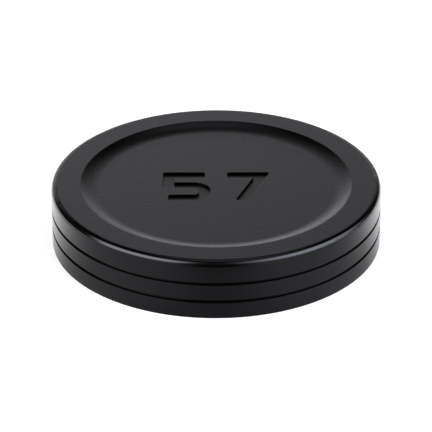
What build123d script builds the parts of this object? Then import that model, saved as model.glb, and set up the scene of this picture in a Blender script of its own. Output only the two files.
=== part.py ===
from build123d import *
import math
import os

# Push-on lens cap: a cup turned from one piece of aluminium, with a felt band bonded inside its skirt.
# Origin at the centre of the mouth, on the plane that the rim stands on. +Z points up through the roof.
# All sizes are in millimetres and all angles in degrees.

# Felt band: a strip bent into a ring, whose ends butt at a seam
barrel_diameter = 57.0  # outside of the lens barrel that the felt grips
felt_thickness = 1.0
felt_width = 6.0
felt_edge_radius = 0.3
felt_seam_gap = 0.4
felt_seam_azimuth = 90.0
glue_film = 0.05  # adhesive between the felt and the skirt
felt_play = 0.05  # room above and below the felt in its recess

# Skirt: a lip below the felt's recess, and a plain shoulder between the recess and the roof
recess_wall = 0.95  # metal left behind the felt
lip_clearance = 0.35  # from the barrel to the lip and the shoulder
lip_height = 1.3
shoulder_height = 1.5
inside_corner_radius = 0.6
mouth_outer_chamfer = 0.05
mouth_inner_chamfer = 0.4

# Grip grooves round the outside of the skirt
lower_groove_height = 3.42
upper_groove_height = 6.98
groove_width = 0.54
groove_depth = 0.5
groove_edge_radius = 0.1

# Roof, with a shallow dish turned into its top
roof_web = 1.65  # metal under the floor of the dish
dish_depth = 0.95
dish_sweep_radius = 5.5  # hollow curve from the dish floor up to its edge
dish_edge_radius = 0.1
rim_width = 5.4  # from the outside of the skirt to the edge of the dish
top_edge_radius = 1.1

# Size mark milled into the dish floor: the barrel diameter as a whole number
digit_height = 10.9
digit_width = 8.8
digit_gap = 2.1
digit_stroke = 2.1
mark_depth = 0.44
mark_cutter_radius = 0.35
mark_edge_radius = 0.08

# Sizes that follow from those above
barrel_radius = barrel_diameter / 2
recess_radius = barrel_radius + felt_thickness + glue_film
outer_radius = recess_radius + recess_wall
lip_radius = barrel_radius + lip_clearance
recess_top = lip_height + felt_width + 2 * felt_play
inside_depth = recess_top + shoulder_height
floor_height = inside_depth + roof_web
height = floor_height + dish_depth
dish_radius = outer_radius - rim_width
floor_radius = dish_radius - math.sqrt(dish_sweep_radius**2 - (dish_sweep_radius - dish_depth) ** 2)

# The middle lines of a digit's strokes span a box that is half a stroke inside the digit's own box.
# Two bends fit one above the other in half of its height.
line_width = digit_width - digit_stroke
line_height = digit_height - digit_stroke
bend_share = 0.24
bend_radius = bend_share * min(line_height, 2 * line_width)

# Strokes of each digit, as points along the middle line: x and y as shares of the box that the lines
# span, and 1 at a round bend or 0 at a sharp one. Ends that run past the digit's box are trimmed by it.
DIGIT_STROKES = {
    "0": [
        [(0.5, 1, 0), (1, 1, 1), (1, 0, 1), (0.5, 0, 0)],
        [(0.5, 0, 0), (0, 0, 1), (0, 1, 1), (0.5, 1, 0)],
    ],
    "1": [[(0.1, 0.75, 0), (0.6, 1, 0), (0.6, -0.5, 0)]],
    "2": [[(0, 1, 0), (1, 1, 1), (1, 0.5, 1), (0, 0.5, 1), (0, 0, 0), (1, 0, 0)]],
    "3": [
        [(0, 1, 0), (1, 1, 1), (1, 0.5, 1), (0.3, 0.5, 0)],
        [(0.3, 0.5, 0), (1, 0.5, 1), (1, 0, 1), (0, 0, 0)],
    ],
    "4": [
        [(0, 1.5, 0), (0, 0.4, 0), (1, 0.4, 0), (1, 1.5, 0)],
        [(0.5, 0.4, 0), (1, 0.4, 0), (1, -0.5, 0)],
    ],
    "5": [[(1, 1, 0), (0, 1, 0), (0, 0.55, 0), (1, 0.55, 1), (1, 0, 1), (0, 0, 0)]],
    "6": [
        [(1, 1, 0), (0, 1, 1), (0, 0, 1), (0.5, 0, 0)],
        [(0.5, 0, 0), (1, 0, 1), (1, 0.5, 1), (0, 0.5, 0)],
    ],
    "7": [[(0, 1, 0), (0.95, 1, 0), (0.25, -0.4, 0)]],
    "8": [
        [(0.5, 1, 0), (1, 1, 1), (1, 0.5, 1), (0.5, 0.5, 0)],
        [(0.5, 0.5, 0), (1, 0.5, 1), (1, 0, 1), (0.5, 0, 0)],
        [(0.5, 0, 0), (0, 0, 1), (0, 0.5, 1), (0.5, 0.5, 0)],
        [(0.5, 0.5, 0), (0, 0.5, 1), (0, 1, 1), (0.5, 1, 0)],
    ],
    "9": [
        [(0, 0, 0), (1, 0, 1), (1, 1, 1), (0.5, 1, 0)],
        [(0.5, 1, 0), (0, 1, 1), (0, 0.5, 1), (1, 0.5, 0)],
    ],
}


def turned(profile):
    """Solid of a profile drawn in the XZ plane, as radius and height, turned about Z."""
    return revolve(Plane.XZ * profile, axis=Axis.Z)


def circle_edges(solid, radius, z):
    """Edges of a solid that are circles about Z with that radius, at that height."""
    same = 1e-4
    circles = solid.edges().filter_by(GeomType.CIRCLE)
    return [e for e in circles if abs(e.radius - radius) < same and abs(e.arc_center.Z - z) < same]


def shell_profile():
    """Half section of the cup, before its edges are broken and its grooves and mark are cut."""
    walls = Polyline(
        (0, floor_height),
        (0, inside_depth),
        (lip_radius, inside_depth),
        (lip_radius, recess_top),
        (recess_radius, recess_top),
        (recess_radius, lip_height),
        (lip_radius, lip_height),
        (lip_radius, 0),
        (outer_radius, 0),
        (outer_radius, height),
        (dish_radius, height),
    )
    floor = Line((0, floor_height), (floor_radius, floor_height))
    sweep_up = TangentArc((floor_radius, floor_height), (dish_radius, height), tangent=(1, 0))
    return make_face(walls + floor + sweep_up)


def digit_face(digit):
    """Flat area of one digit, centred on the origin, as a round cutter leaves it in its corners."""
    strokes = Sketch()
    for points in DIGIT_STROKES[digit]:
        line = FilletPolyline(
            *[((x - 0.5) * line_width, (y - 0.5) * line_height) for x, y, bend in points],
            radius=[bend * bend_radius for x, y, bend in points[1:-1]],
        )
        strokes += trace(line, line_width=digit_stroke)
    trimmed = strokes & Rectangle(digit_width, digit_height)
    cutter_centre_area = offset(trimmed, -mark_cutter_radius, kind=Kind.INTERSECTION)
    return offset(cutter_centre_area, mark_cutter_radius, kind=Kind.ARC)


def size_mark():
    """Flat outline of the number, centred on the origin and read along +X."""
    number = str(round(barrel_diameter))
    step = digit_width + digit_gap
    places = GridLocations(step, 0, len(number), 1)
    return Sketch() + [place * digit_face(digit) for place, digit in zip(places, number)]


def make_shell():
    """Turned cup with its dish, edges, grip grooves and milled size mark."""
    shell = turned(shell_profile())
    shell = fillet(circle_edges(shell, outer_radius, height), top_edge_radius)
    shell = fillet(circle_edges(shell, dish_radius, height), dish_edge_radius)
    shell = fillet(circle_edges(shell, lip_radius, inside_depth), inside_corner_radius)
    shell = chamfer(circle_edges(shell, outer_radius, 0), mouth_outer_chamfer)
    shell = chamfer(circle_edges(shell, lip_radius, 0), mouth_inner_chamfer)

    for z in (lower_groove_height, upper_groove_height):
        shell -= turned(Pos(outer_radius, z) * SlotOverall(2 * groove_depth, groove_width))
        lower_lip = circle_edges(shell, outer_radius, z - groove_width / 2)
        upper_lip = circle_edges(shell, outer_radius, z + groove_width / 2)
        shell = fillet(lower_lip + upper_lip, groove_edge_radius)

    shell -= extrude(Pos(0, 0, floor_height - mark_depth) * size_mark(), mark_depth)
    floor_edges = shell.edges().filter_by_position(Axis.Z, floor_height, floor_height)
    floor_rim = circle_edges(shell, floor_radius, floor_height)
    return fillet([e for e in floor_edges if e not in floor_rim], mark_edge_radius)


def make_felt():
    """Felt strip standing in its recess, with its inner edges rounded and open by the seam's gap."""
    middle = Pos(barrel_radius + felt_thickness / 2, lip_height + felt_play + felt_width / 2)
    section = middle * Rectangle(felt_thickness, felt_width)
    inner_corners = section.vertices().group_by(Axis.X)[0]
    section = fillet(inner_corners, felt_edge_radius)
    seam_angle = math.degrees(felt_seam_gap / barrel_radius)
    strip = revolve(Plane.XZ * section, Axis.Z, 360 - seam_angle)
    return Rot(0, 0, felt_seam_azimuth + seam_angle / 2) * strip


parts = {"cap_shell": make_shell(), "felt_band": make_felt()}
os.makedirs("parts", exist_ok=True)
for name, solid in parts.items():
    export_step(solid, f"parts/{name}.step")
    print(name, "volume", round(solid.volume, 2), "box", solid.bounding_box().size)
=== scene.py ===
import math

import bpy
import numpy as np
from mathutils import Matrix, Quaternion, Vector


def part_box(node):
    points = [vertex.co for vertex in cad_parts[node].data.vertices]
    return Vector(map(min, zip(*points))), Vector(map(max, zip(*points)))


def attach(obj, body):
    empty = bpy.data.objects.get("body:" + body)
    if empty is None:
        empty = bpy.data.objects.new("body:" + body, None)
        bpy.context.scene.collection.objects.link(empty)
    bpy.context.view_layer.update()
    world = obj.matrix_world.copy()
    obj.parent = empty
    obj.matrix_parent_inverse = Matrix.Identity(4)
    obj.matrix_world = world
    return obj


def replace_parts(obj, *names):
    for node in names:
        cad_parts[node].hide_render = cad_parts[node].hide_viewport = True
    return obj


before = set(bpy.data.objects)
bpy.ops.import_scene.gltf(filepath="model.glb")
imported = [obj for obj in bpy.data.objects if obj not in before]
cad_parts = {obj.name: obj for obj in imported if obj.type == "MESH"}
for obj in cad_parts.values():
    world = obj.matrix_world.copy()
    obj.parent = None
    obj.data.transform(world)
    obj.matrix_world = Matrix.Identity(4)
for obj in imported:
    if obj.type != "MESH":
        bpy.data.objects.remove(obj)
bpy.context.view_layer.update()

# Cap shell
# A cup turned from one bar of aluminium, with the dish, the two grip grooves and the size number cut
# into it. The top is bead blasted and the skirt left as turned, and all of it is dyed black anodise.
MM = 0.001
_, shell_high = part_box("cap_shell")
shell_radius = shell_high.x
shell_height = shell_high.z
top_edge_radius = 1.1 * MM
roof_underside = 8.9 * MM
lower_groove, upper_groove = 3.42 * MM, 6.98 * MM  # heights of their middles
groove_depth = 0.5 * MM
groove_lip = 0.02 * MM  # outermost part of a groove, which keeps the skirt's finish
mark_floor = 10.11 * MM
dish_floor = 10.55 * MM
dye_dark, dye_pale = "#1e1e1f", "#222224"
# Inside the grooves the colour is darker: painted shade.
dye_in_mark, painted_shade_in_groove = "#1e1e1f", "#161617"
# Lighter colour on a band of the rounded edge: a painted highlight.
painted_highlight_colour = "#424244"


def linear(hex_colour):
    """Linear RGBA of an sRGB hex colour, by the sRGB curve."""
    srgb = np.array([int(hex_colour[i : i + 2], 16) for i in (1, 3, 5)]) / 255
    rgb = np.where(srgb <= 0.04045, srgb / 12.92, ((srgb + 0.055) / 1.055) ** 2.4)
    return (*rgb.tolist(), 1.0)


def add_node(tree, kind, inputs=None, **settings):
    """Adds a node with its settings. inputs maps a socket to its value, or to the output, or the node with
    the output, that is linked to it."""
    node = tree.nodes.new(kind)
    for name, value in settings.items():
        setattr(node, name, value)
    for socket, value in (inputs or {}).items():
        if isinstance(value, bpy.types.Node):
            value = next(output for output in value.outputs if output.enabled)
        if isinstance(value, bpy.types.NodeSocket):
            tree.links.new(value, node.inputs[socket])
        else:
            node.inputs[socket].default_value = value
    return node


def empty_material(name):
    """New material with no nodes in its tree."""
    material = bpy.data.materials.new(name)
    material.use_nodes = True
    material.node_tree.nodes.clear()
    return material


def black_anodised_aluminium():
    """Dyed and sealed anodic film on aluminium. It takes nearly all light that falls straight on it and
    mirrors pale things at a glancing view. Blasting leaves a fine matt grain on the top, a little rougher on
    the milled floor of the mark. The lathe leaves fine rings elsewhere, whose slopes spread reflections up
    and down. The grooves are rougher inside, and darker there by painted shade. A band along the rounded
    edge, which is left smoother, has a lighter colour: a painted highlight where the softboxes' streaks lie."""
    grain_size = 0.4 * MM  # dents of fine beads are about a quarter as wide, drawn coarser so that they show
    grain_depth = 0.028 * MM
    feed = 0.1 * MM  # travel of the lathe's tool in one turn
    tool_nose_radius = 0.5 * MM
    cloud_size = 7 * MM  # faint unevenness of the dye
    cloud_low, cloud_high = 0.3, 0.7  # noise at which the blasted finish is smoothest and roughest
    smoothest_blast, roughest_blast = 0.255, 0.295
    turned_roughness, mark_roughness, groove_roughness = 0.16, 0.35, 0.4
    unblasted_share = 0.7  # part of the rounded edge's width, from outside, that stays as turned
    finish_blend = 0.12 * MM  # width over which one finish runs into the other
    # Shares of the rounded edge's height between which the rings fade out and the painted highlight lies
    rings_last, rings_end = 0.14, 0.4
    highlight_start, highlight_full, highlight_last, highlight_end = 0.15, 0.4, 0.7, 0.9

    material = empty_material("black_anodised_aluminium")
    tree = material.node_tree
    place = add_node(tree, "ShaderNodeTexCoord").outputs["Object"]
    height = add_node(tree, "ShaderNodeSeparateXYZ", {0: place}).outputs["Z"]
    across = add_node(tree, "ShaderNodeVectorMath", {0: place, 1: (1, 1, 0)}, operation="MULTIPLY")
    radius = add_node(tree, "ShaderNodeVectorMath", {0: across}, operation="LENGTH")

    # 1 on the blasted top, which ends a little way down the rounded edge, and 0 elsewhere
    blast_end = shell_radius - unblasted_share * top_edge_radius
    within = add_node(
        tree, "ShaderNodeMapRange", {0: radius, 1: blast_end + finish_blend, 2: blast_end - finish_blend}
    )
    above = add_node(tree, "ShaderNodeMapRange", {0: height, 1: roof_underside, 2: mark_floor})
    blasted = add_node(tree, "ShaderNodeMath", {0: within, 1: above}, operation="MULTIPLY")

    # 1 on the floor of the mark, less up its walls, and 0 from the dish floor upwards
    below_dish = add_node(tree, "ShaderNodeMapRange", {0: height, 1: dish_floor, 2: mark_floor})
    in_mark = add_node(tree, "ShaderNodeMath", {0: below_dish, 1: blasted}, operation="MULTIPLY")

    # This mask gives the grooves their roughness and their painted shade.
    # 1 inside the grip grooves, short of their lips: in the band that holds both, and sunk below the skirt
    beside_grooves = add_node(
        tree,
        "ShaderNodeMath",
        {0: height, 1: (lower_groove + upper_groove) / 2, 2: upper_groove - lower_groove},
        operation="COMPARE",
    )
    below_skirt = add_node(
        tree,
        "ShaderNodeMath",
        {0: radius, 1: shell_radius - groove_lip - groove_depth / 2, 2: groove_depth / 2},
        operation="COMPARE",
    )
    in_groove = add_node(tree, "ShaderNodeMath", {0: beside_grooves, 1: below_skirt}, operation="MULTIPLY")

    # Height on the rounded edge as a share of its radius, which is the sine of the slope that faces up
    edge_foot = shell_height - top_edge_radius
    edge_share = add_node(tree, "ShaderNodeMapRange", {0: height, 1: edge_foot, 2: shell_height})
    turned = add_node(tree, "ShaderNodeMapRange", {0: edge_share, 1: rings_end, 2: rings_last})
    # Band of the rounded edge that gets a lighter colour: a painted highlight
    highlight_above = add_node(
        tree,
        "ShaderNodeMapRange",
        {0: edge_share, 1: highlight_start, 2: highlight_full},
        interpolation_type="SMOOTHSTEP",
    )
    highlight_below = add_node(
        tree,
        "ShaderNodeMapRange",
        {0: edge_share, 1: highlight_end, 2: highlight_last},
        interpolation_type="SMOOTHSTEP",
    )
    highlight_band = add_node(tree, "ShaderNodeMath", {0: highlight_above, 1: highlight_below}, operation="MULTIPLY")
    edge_start = shell_radius - top_edge_radius
    outside = add_node(tree, "ShaderNodeMapRange", {0: radius, 1: edge_start, 2: edge_start + finish_blend})
    painted_highlight = add_node(tree, "ShaderNodeMath", {0: highlight_band, 1: outside}, operation="MULTIPLY")

    # The tool moves along the height on walls and along the radius on flats, so its rings follow their sum.
    # Each ring is a hollow as round as the tool's nose, so its height grows with the square of the distance.
    travel = add_node(tree, "ShaderNodeMath", {0: radius, 1: height}, operation="ADD")
    off_path = add_node(tree, "ShaderNodeMath", {0: travel, 1: feed / 2}, operation="PINGPONG")
    off_path_squared = add_node(tree, "ShaderNodeMath", {0: off_path, 1: off_path}, operation="MULTIPLY")
    hollow = add_node(
        tree, "ShaderNodeMath", {0: off_path_squared, 1: 2 * tool_nose_radius}, operation="DIVIDE"
    )
    rings = add_node(tree, "ShaderNodeMath", {0: hollow, 1: turned}, operation="MULTIPLY")
    dents = add_node(
        tree,
        "ShaderNodeTexNoise",
        {"Vector": place, "Scale": 1 / grain_size, "Detail": 2.0, "Roughness": 0.6},
    )
    grain = add_node(tree, "ShaderNodeMath", {0: dents, 1: grain_depth}, operation="MULTIPLY")
    relief = add_node(tree, "ShaderNodeMix", {0: blasted, 2: rings, 3: grain})
    bump = add_node(tree, "ShaderNodeBump", {"Distance": 1.0, "Height": relief})

    clouds = add_node(tree, "ShaderNodeTexNoise", {"Vector": place, "Scale": 1 / cloud_size, "Detail": 2.0})
    matt = add_node(
        tree,
        "ShaderNodeMapRange",
        {0: clouds, 1: cloud_low, 2: cloud_high, 3: smoothest_blast, 4: roughest_blast},
    )
    matt = add_node(tree, "ShaderNodeMix", {0: in_mark, 2: matt, 3: mark_roughness})
    roughness = add_node(tree, "ShaderNodeMix", {0: blasted, 2: turned_roughness, 3: matt})
    roughness = add_node(tree, "ShaderNodeMix", {0: in_groove, 2: roughness, 3: groove_roughness})

    colour = add_node(
        tree, "ShaderNodeMix", {0: clouds, 6: linear(dye_dark), 7: linear(dye_pale)}, data_type="RGBA"
    )
    # Colours laid over the dye: the mark's own colour, painted shade in the grooves and a painted highlight
    # on the rounded edge
    for share, overlay_colour in ((in_mark, dye_in_mark), (in_groove, painted_shade_in_groove), (painted_highlight, painted_highlight_colour)):
        colour = add_node(tree, "ShaderNodeMix", {0: share, 6: colour, 7: linear(overlay_colour)}, data_type="RGBA")
    film = add_node(
        tree,
        "ShaderNodeBsdfPrincipled",
        {"Base Color": colour, "Metallic": 1.0, "Roughness": roughness, "Normal": bump},
    )
    add_node(tree, "ShaderNodeOutputMaterial", {"Surface": film})
    return material


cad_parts["cap_shell"].material_slots[0].material = black_anodised_aluminium()

# Felt band
# A strip of black wool felt, bent into a ring and glued into the recess inside the skirt, whose free face
# grips the lens barrel. Its free edges are rounded, its ends meet at the back, and loose fibres stand off.
felt_low, felt_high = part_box("felt_band")
felt_thickness = 1.0 * MM
felt_outer = felt_high.x
felt_inner = felt_outer - felt_thickness
felt_free_edge = 0.3 * MM
felt_glued_edge = 0.08 * MM
felt_seam_gap = 0.4 * MM
felt_seam_azimuth = math.radians(90)
felt_steps_round = 900
felt_steps_section = 64
felt_steps_corner = 9
felt_lump_size = 0.3 * MM
felt_lump_depth = 0.06 * MM
felt_lump_seed = 3
fibre_count = 5000
fibre_steps = 5
fibre_seed = 8
fibre_radius = 0.016 * MM  # about as thick as coarse wool
fibre_taper = 0.7  # share of its thickness that a fibre loses up to its tip
fibre_lengths = (0.5, 1.2)  # shortest and longest, in millimetres
fibre_lifts = (0.04, 0.16)  # how far the bow stands off the face, in millimetres
fibre_sway = 0.3  # furthest sideways, as a share of the length
fibre_bow = 0.8 * np.pi  # how much of a sine wave the bow follows, so that its tip stays off the face
fibre_seam_margin = 0.04  # radians
fibre_edge_margin = 0.5 * MM
wool_dark, wool_pale = "#0e0e0f", "#232224"


def felt_section():
    """Outline of the strip's section as radius and height, at equal steps of its length. It is a rectangle
    with a quarter circle at each corner."""
    corner = np.array(
        [
            [felt_outer, felt_low.z],
            [felt_outer, felt_high.z],
            [felt_inner, felt_high.z],
            [felt_inner, felt_low.z],
        ]
    )
    bend = np.array([felt_glued_edge, felt_glued_edge, felt_free_edge, felt_free_edge])
    inwards = np.array([[-1, 1], [-1, -1], [1, -1], [1, 1]])
    angle = np.radians([-90, 0, 90, 180])[:, None] + np.linspace(0, np.pi / 2, felt_steps_corner)
    arcs = np.stack([np.cos(angle), np.sin(angle)], axis=2) * bend[:, None, None]
    outline = ((corner + inwards * bend[:, None])[:, None] + arcs).reshape(-1, 2)
    closed = np.vstack([outline, outline[:1]])
    length = np.insert(np.cumsum(np.linalg.norm(np.diff(closed, axis=0), axis=1)), 0, 0)
    wanted = np.linspace(0, length[-1], felt_steps_section, endpoint=False)
    return np.stack([np.interp(wanted, length, closed[:, i]) for i in (0, 1)], axis=1)


def felt_strip():
    """Points and faces of the strip. Its section is carried round the axis from one side of the seam to the
    other, and sinks by seeded lumps on the faces that aren't glued. A face closes each end."""
    section = felt_section()
    tangent = np.roll(section, -1, axis=0) - np.roll(section, 1, axis=0)
    outwards = np.stack([tangent[:, 1], -tangent[:, 0]], axis=1)
    outwards /= np.linalg.norm(outwards, axis=1)[:, None]
    free = (felt_outer - section[:, 0]) / (felt_outer - felt_inner)

    half_seam = felt_seam_gap / 2 / felt_inner
    azimuth = np.linspace(half_seam, 2 * np.pi - half_seam, felt_steps_round) + felt_seam_azimuth

    # Lumps are random numbers without the waves that are shorter than a lump, stretched from 0 to 1
    noise = np.random.default_rng(felt_lump_seed).standard_normal((felt_steps_round, felt_steps_section))
    section_length = np.linalg.norm(np.roll(section, -1, axis=0) - section, axis=1).sum()
    waves_round = np.fft.fftfreq(felt_steps_round, 2 * np.pi * felt_inner / felt_steps_round)[:, None]
    waves_section = np.fft.fftfreq(felt_steps_section, section_length / felt_steps_section)
    kept = np.exp(-((waves_round**2 + waves_section**2) * felt_lump_size**2))
    lumps = np.fft.ifft2(np.fft.fft2(noise) * kept).real
    lumps = (lumps - lumps.min()) / np.ptp(lumps)

    sunk = section - outwards * (felt_lump_depth * lumps * free)[..., None]
    radius, z = sunk[..., 0], sunk[..., 1]
    points = np.stack([radius * np.cos(azimuth)[:, None], radius * np.sin(azimuth)[:, None], z], axis=2)

    index = np.arange(felt_steps_round * felt_steps_section).reshape(felt_steps_round, felt_steps_section)
    after = np.roll(index, -1, axis=1)
    quads = np.stack([index[:-1], index[1:], after[1:], after[:-1]], axis=2).reshape(-1, 4)
    ends = [index[0].tolist(), index[-1, ::-1].tolist()]
    return points.reshape(-1, 3), quads.tolist() + ends


def felt_fibres():
    """Points and faces of loose fibres on the free face: thin tubes of three sides, each from a seeded place
    in the face, along it in any direction, bowed off it and sideways, and closed at both ends."""
    random = np.random.default_rng(fibre_seed)
    first, last = fibre_seam_margin, 2 * np.pi - fibre_seam_margin
    low, high = felt_low.z + fibre_edge_margin, felt_high.z - fibre_edge_margin
    azimuth = felt_seam_azimuth + random.uniform(first, last, fibre_count)
    height = random.uniform(low, high, fibre_count)
    heading = random.uniform(0, 2 * np.pi, fibre_count)[:, None, None]
    length = random.uniform(*fibre_lengths, fibre_count)[:, None, None] * MM
    sway = random.uniform(-fibre_sway, fibre_sway, fibre_count)[:, None, None] * length
    lift = random.uniform(*fibre_lifts, fibre_count)[:, None, None] * MM

    share = np.linspace(0, 1, fibre_steps)[:, None]
    side = np.radians([0, 120, 240])
    thickness = fibre_radius * (1 - fibre_taper * share)
    along = length * share
    aside = sway * share**2 + thickness * np.cos(side)
    off_face = lift * np.sin(fibre_bow * share) + thickness * np.sin(side) - felt_lump_depth / 2
    round_face = along * np.cos(heading) - aside * np.sin(heading)
    up_face = along * np.sin(heading) + aside * np.cos(heading)

    radius = felt_inner - off_face
    angle = azimuth[:, None, None] + round_face / felt_inner
    z = np.clip(height[:, None, None] + up_face, felt_low.z, felt_high.z)
    points = np.stack([radius * np.cos(angle), radius * np.sin(angle), z], axis=3)

    index = np.arange(points[..., 0].size).reshape(fibre_count, fibre_steps, 3)
    after = np.roll(index, -1, axis=2)
    quads = np.stack([index[:, :-1], index[:, 1:], after[:, 1:], after[:, :-1]], axis=3).reshape(-1, 4)
    ends = np.concatenate([index[:, 0], index[:, -1, ::-1]])
    return points.reshape(-1, 3), quads.tolist() + ends.tolist()


def black_wool_felt():
    """Pressed wool dyed black. It is matt from every side, its fibres vary a little in colour, and their
    loose ends catch a faint pale bloom along the edges."""
    fibre_width = 0.12 * MM  # wool is about a third as thick, drawn coarser so that it shows
    tangle_size = 1.2 * MM
    relief_depth = 0.03 * MM
    dark_noise, pale_noise = 0.12, 0.42  # noise at which the wool is darkest and palest

    material = empty_material("black_wool_felt")
    tree = material.node_tree
    place = add_node(tree, "ShaderNodeTexCoord").outputs["Object"]
    fibres = add_node(
        tree,
        "ShaderNodeTexNoise",
        {"Vector": place, "Scale": 1 / fibre_width, "Detail": 3.0, "Roughness": 0.65, "Distortion": 1.5},
    )
    tangles = add_node(
        tree, "ShaderNodeTexNoise", {"Vector": place, "Scale": 1 / tangle_size, "Detail": 2.0}
    )
    mixed = add_node(tree, "ShaderNodeMath", {0: fibres, 1: tangles}, operation="MULTIPLY")
    paleness = add_node(tree, "ShaderNodeMapRange", {0: mixed, 1: dark_noise, 2: pale_noise})
    wool = add_node(
        tree, "ShaderNodeMix", {0: paleness, 6: linear(wool_dark), 7: linear(wool_pale)}, data_type="RGBA"
    )
    relief = add_node(tree, "ShaderNodeMath", {0: fibres, 1: relief_depth}, operation="MULTIPLY")
    bump = add_node(tree, "ShaderNodeBump", {"Distance": 1.0, "Height": relief})
    cloth = add_node(
        tree,
        "ShaderNodeBsdfPrincipled",
        {
            "Base Color": wool,
            "Roughness": 0.95,
            "Specular IOR Level": 0.2,
            "Sheen Weight": 0.25,
            "Sheen Roughness": 0.6,
            "Normal": bump,
        },
    )
    add_node(tree, "ShaderNodeOutputMaterial", {"Surface": cloth})
    return material


wool_felt = black_wool_felt()


def felt_piece(name, points, faces):
    """New object of the felt, which rides with the shell and is shaded smooth."""
    mesh = bpy.data.meshes.new(name)
    mesh.from_pydata(points.tolist(), [], faces)
    mesh.materials.append(wool_felt)
    mesh.shade_smooth()
    piece = bpy.data.objects.new(name, mesh)
    bpy.context.scene.collection.objects.link(piece)
    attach(piece, "root")
    return piece


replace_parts(felt_piece("felt_strip", *felt_strip()), "felt_band")
felt_piece("felt_fibres", *felt_fibres())

# Floor
# The top of a light table, a flat sheet of opal acrylic that is lit from below. The cap only stands on it,
# and it stays white round the cap and takes a faint shadow.
floor_half_width = 4.0
acrylic_unlit, acrylic_white = "#1a1a1a", "#e0e0e0"


def opal_acrylic():
    """White sheet lit from below: what shows is mostly its own glow, and the rest is the lamps' light on it.
    The camera sees white as far as the floor goes. In the cap's mirror a patch about twice as wide as the
    cap is lit, and beyond it only the sides, where the softboxes stand. There it is dimmer straight in front
    and brighter from the sides to the back, and a painted shadow of the cap lies to its sides and back."""
    camera_glow, mirror_glow = 0.55, 0.85
    sheet_full, sheet_edge = 48 * MM, 62 * MM
    # Angles are 0 straight in front of the cap and grow to either side, up to 180 degrees behind it
    side_start, side_full = math.radians(8), math.radians(26)
    side_last, side_end = math.radians(130), math.radians(150)
    front_share, front_end = 0.52, math.radians(38)
    rear_share, rear_start, rear_full = 1.25, math.radians(72), math.radians(92)
    shadow_start, shadow_full = math.radians(42), math.radians(66)
    shadow_share, shadow_end_share, shadow_end = 0.55, 0.92, 41 * MM

    material = empty_material("opal_acrylic")
    tree = material.node_tree
    path = add_node(tree, "ShaderNodeLightPath").outputs
    place = add_node(tree, "ShaderNodeTexCoord").outputs["Object"]
    radius = add_node(tree, "ShaderNodeVectorMath", {0: place}, operation="LENGTH")
    x, y, _ = add_node(tree, "ShaderNodeSeparateXYZ", {0: place}).outputs
    to_front = add_node(tree, "ShaderNodeMath", {0: y, 1: -1.0}, operation="MULTIPLY")
    aside = add_node(tree, "ShaderNodeMath", {0: x, 1: to_front}, operation="ARCTAN2")
    aside = add_node(tree, "ShaderNodeMath", {0: aside}, operation="ABSOLUTE")

    sheet = add_node(
        tree,
        "ShaderNodeMapRange",
        {0: radius, 1: sheet_edge, 2: sheet_full},
        interpolation_type="SMOOTHSTEP",
    )
    past_front = add_node(
        tree, "ShaderNodeMapRange", {0: aside, 1: side_start, 2: side_full}, interpolation_type="SMOOTHSTEP"
    )
    before_back = add_node(
        tree, "ShaderNodeMapRange", {0: aside, 1: side_end, 2: side_last}, interpolation_type="SMOOTHSTEP"
    )
    sides = add_node(tree, "ShaderNodeMath", {0: past_front, 1: before_back}, operation="MULTIPLY")
    lit = add_node(tree, "ShaderNodeMath", {0: sheet, 1: sides}, operation="MAXIMUM")

    off_front = add_node(
        tree,
        "ShaderNodeMapRange",
        {0: aside, 1: 0.0, 2: front_end, 3: front_share},
        interpolation_type="SMOOTHSTEP",
    )
    to_rear = add_node(
        tree,
        "ShaderNodeMapRange",
        {0: aside, 1: rear_start, 2: rear_full, 3: 1.0, 4: rear_share},
        interpolation_type="SMOOTHSTEP",
    )
    # Painted shadow of the cap in the glow and tone, darkest next to the cap, to its sides and back
    painted_shadow = add_node(
        tree,
        "ShaderNodeMapRange",
        {0: radius, 1: shell_radius, 2: shadow_end, 3: shadow_share, 4: shadow_end_share},
    )
    painted_shadow_aside = add_node(
        tree,
        "ShaderNodeMapRange",
        {0: aside, 1: shadow_start, 2: shadow_full, 3: 1.0, 4: painted_shadow},
        interpolation_type="SMOOTHSTEP",
    )
    for share in (off_front, to_rear, painted_shadow_aside):
        lit = add_node(tree, "ShaderNodeMath", {0: lit, 1: share}, operation="MULTIPLY")

    mirrored = add_node(
        tree,
        "ShaderNodeMath",
        {0: path["Is Glossy Ray"], 1: path["Is Transmission Ray"]},
        operation="MAXIMUM",
    )
    mirrored = add_node(tree, "ShaderNodeMath", {0: mirrored, 1: lit}, operation="MULTIPLY")
    mirrored = add_node(tree, "ShaderNodeMath", {0: mirrored, 1: mirror_glow}, operation="MULTIPLY")
    seen = add_node(tree, "ShaderNodeMath", {0: path["Is Camera Ray"], 1: camera_glow}, operation="MULTIPLY")
    strength = add_node(tree, "ShaderNodeMath", {0: seen, 1: mirrored}, operation="MAXIMUM")
    glow = add_node(tree, "ShaderNodeEmission", {"Strength": strength})

    white = add_node(tree, "ShaderNodeMath", {0: path["Is Camera Ray"], 1: lit}, operation="MAXIMUM")
    tone = add_node(
        tree,
        "ShaderNodeMix",
        {0: white, 6: linear(acrylic_unlit), 7: linear(acrylic_white)},
        data_type="RGBA",
    )
    face = add_node(tree, "ShaderNodeBsdfDiffuse", {"Color": tone})
    both = add_node(tree, "ShaderNodeAddShader", {0: glow, 1: face})
    add_node(tree, "ShaderNodeOutputMaterial", {"Surface": both})
    return material


floor_signs = ((-1, -1), (1, -1), (1, 1), (-1, 1))
floor_corners = [(i * floor_half_width, j * floor_half_width, 0) for i, j in floor_signs]
floor_mesh = bpy.data.meshes.new("light_table")
floor_mesh.from_pydata(floor_corners, [], [(0, 1, 2, 3)])
floor_mesh.materials.append(opal_acrylic())
floor = bpy.data.objects.new("light_table", floor_mesh)
bpy.context.scene.collection.objects.link(floor)

# Light
# Two large softboxes, lamps behind white cloth, stand in front, left and right. A white backdrop hangs
# behind the table and a pale panel overhead, and the rest of the room is dim.


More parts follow.
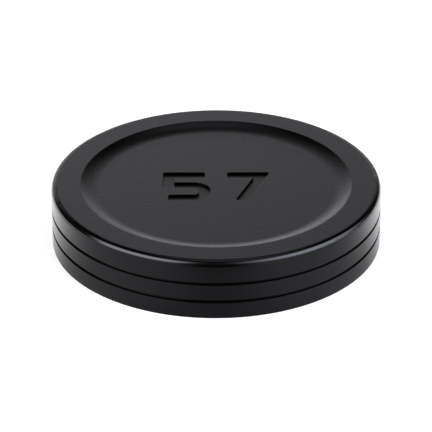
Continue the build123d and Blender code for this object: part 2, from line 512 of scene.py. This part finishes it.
def direction_to(azimuth, elevation):
    """Unit vector at an azimuth from the camera's side towards +X, and an elevation, in degrees."""
    a, e = math.radians(azimuth), math.radians(elevation)
    return Vector((math.sin(a) * math.cos(e), -math.cos(a) * math.cos(e), math.sin(e)))


def softbox(name, azimuth, elevation, roll, half_width, half_height, fade_across, radiance, colour):
    """Rectangular lamp that faces the origin, as wide and high as it looks from there, in degrees. roll
    lifts its end towards +X. Its cloth dims towards its sides over a share of its width, and towards its
    top and bottom over a fifth of its height."""
    distance = 1.5
    fade_up = 0.2
    middle = 0.5  # of the cloth, which runs from 0 to 1 across and up
    towards = direction_to(azimuth, elevation)
    lamp = bpy.data.lights.new(name, "AREA")
    lamp.shape = "RECTANGLE"
    lamp.size = 2 * distance * math.tan(math.radians(half_width))
    lamp.size_y = 2 * distance * math.tan(math.radians(half_height))
    lamp.energy = radiance * math.pi * lamp.size * lamp.size_y
    lamp.color = linear(colour)[:3]

    lamp.use_nodes = True
    tree = lamp.node_tree
    tree.nodes.clear()
    spot = add_node(tree, "ShaderNodeNewGeometry").outputs["Parametric"]
    across, up, _ = add_node(tree, "ShaderNodeSeparateXYZ", {0: spot}).outputs
    from_side = add_node(tree, "ShaderNodeMath", {0: across, 1: middle}, operation="PINGPONG")
    from_end = add_node(tree, "ShaderNodeMath", {0: up, 1: middle}, operation="PINGPONG")
    bright_across = add_node(
        tree, "ShaderNodeMapRange", {0: from_side, 1: 0.0, 2: fade_across}, interpolation_type="SMOOTHSTEP"
    )
    bright_up = add_node(
        tree, "ShaderNodeMapRange", {0: from_end, 1: 0.0, 2: fade_up}, interpolation_type="SMOOTHSTEP"
    )
    bright = add_node(tree, "ShaderNodeMath", {0: bright_across, 1: bright_up}, operation="MULTIPLY")
    cloth = add_node(tree, "ShaderNodeEmission", {"Strength": bright})
    add_node(tree, "ShaderNodeOutputLight", {"Surface": cloth})

    box = bpy.data.objects.new(name, lamp)
    box.location = towards * distance
    box.rotation_mode = "QUATERNION"
    level = towards.to_track_quat("Z", "Y")
    box.rotation_quaternion = level @ Quaternion((0, 0, 1), math.radians(roll))
    box.visible_camera = False
    bpy.context.scene.collection.objects.link(box)


softbox(
    "softbox_left",
    azimuth=-59,
    elevation=34,
    roll=12,
    half_width=36,
    half_height=26.5,
    fade_across=0.28,
    radiance=3.6,
    colour="#ffffff",
)
softbox(
    "softbox_right",
    azimuth=70.5,
    elevation=32,
    roll=-22,
    half_width=51,
    half_height=29,
    fade_across=0.5,
    radiance=3.8,
    colour="#f2f6ff",
)


def studio_world():
    """Dim room with a white backdrop behind the table and a pale panel overhead towards the back, by
    direction alone. The backdrop is brightest at its foot and a little left of its middle. It fades to the
    right and upwards, and dims to the left, where it ends sharply."""
    # Angles aside are 0 straight behind the table and grow to the right. A level of 1 is white.
    left_end, left_full, left_share = math.radians(-44), math.radians(-33), 0.5
    right_end, right_full = math.radians(37), math.radians(-7)
    foot_full, foot_end = math.radians(12), math.radians(27)
    fade_start, fade_end = math.radians(27), math.radians(47)
    panel_middle = direction_to(158, 78)
    panel_edge, panel_full = math.radians(26), math.radians(8)
    room, backdrop_foot, backdrop, backdrop_top, panel = 0.05, 1.62, 1.08, 0.35, 1.2
    white = "#fafcff"

    world = bpy.data.worlds.new("studio")
    world.use_nodes = True
    tree = world.node_tree
    tree.nodes.clear()
    direction = add_node(tree, "ShaderNodeTexCoord").outputs["Generated"]
    x, y, z = add_node(tree, "ShaderNodeSeparateXYZ", {0: direction}).outputs
    aside = add_node(tree, "ShaderNodeMath", {0: x, 1: y}, operation="ARCTAN2")
    upwards = add_node(tree, "ShaderNodeMath", {0: z}, operation="ARCSINE")

    from_left = add_node(
        tree, "ShaderNodeMapRange", {0: aside, 1: left_end, 2: left_full}, interpolation_type="SMOOTHSTEP"
    )
    off_left = add_node(tree, "ShaderNodeMapRange", {0: aside, 1: left_full, 2: right_full, 3: left_share})
    from_right = add_node(tree, "ShaderNodeMapRange", {0: aside, 1: right_end, 2: right_full})
    fade = add_node(
        tree, "ShaderNodeMapRange", {0: upwards, 1: fade_start, 2: fade_end, 3: backdrop, 4: backdrop_top}
    )
    foot = add_node(
        tree,
        "ShaderNodeMapRange",
        {0: upwards, 1: foot_end, 2: foot_full, 3: 0.0, 4: backdrop_foot - backdrop},
    )
    sheet = add_node(tree, "ShaderNodeMath", {0: fade, 1: foot}, operation="ADD")
    for share in (from_left, off_left, from_right):
        sheet = add_node(tree, "ShaderNodeMath", {0: sheet, 1: share}, operation="MULTIPLY")

    towards_panel = add_node(
        tree, "ShaderNodeVectorMath", {0: direction, 1: panel_middle}, operation="DOT_PRODUCT"
    )
    off_panel = add_node(tree, "ShaderNodeMath", {0: towards_panel}, operation="ARCCOSINE")
    overhead = add_node(
        tree,
        "ShaderNodeMapRange",
        {0: off_panel, 1: panel_edge, 2: panel_full, 3: room, 4: panel},
        interpolation_type="SMOOTHSTEP",
    )
    level = add_node(tree, "ShaderNodeMath", {0: sheet, 1: overhead}, operation="MAXIMUM")
    light = add_node(tree, "ShaderNodeBackground", {"Color": linear(white), "Strength": level})
    add_node(tree, "ShaderNodeOutputWorld", {"Surface": light})
    return world


bpy.context.scene.world = studio_world()

# Camera
# A long lens that looks down on the cap from the front. Its distance, tilt and roll are those that the
# cap's outline, the edge of its dish and its grooves show.
camera_distance = 0.57386
camera_elevation = 28.788
camera_target = Vector((-0.03, 0, 4.25)) * MM
camera_roll = math.radians(-0.153)

lens = bpy.data.cameras.new("camera")
lens.sensor_width = 36
lens.lens = 256
camera = bpy.data.objects.new("camera", lens)
camera.location = camera_distance * direction_to(0, camera_elevation)
camera.rotation_mode = "QUATERNION"
level_view = (camera_target - camera.location).to_track_quat("-Z", "Y")
camera.rotation_quaternion = level_view @ Quaternion((0, 0, 1), camera_roll)
bpy.context.scene.collection.objects.link(camera)
bpy.context.scene.camera = camera

bpy.context.scene.view_settings.view_transform = "Standard"
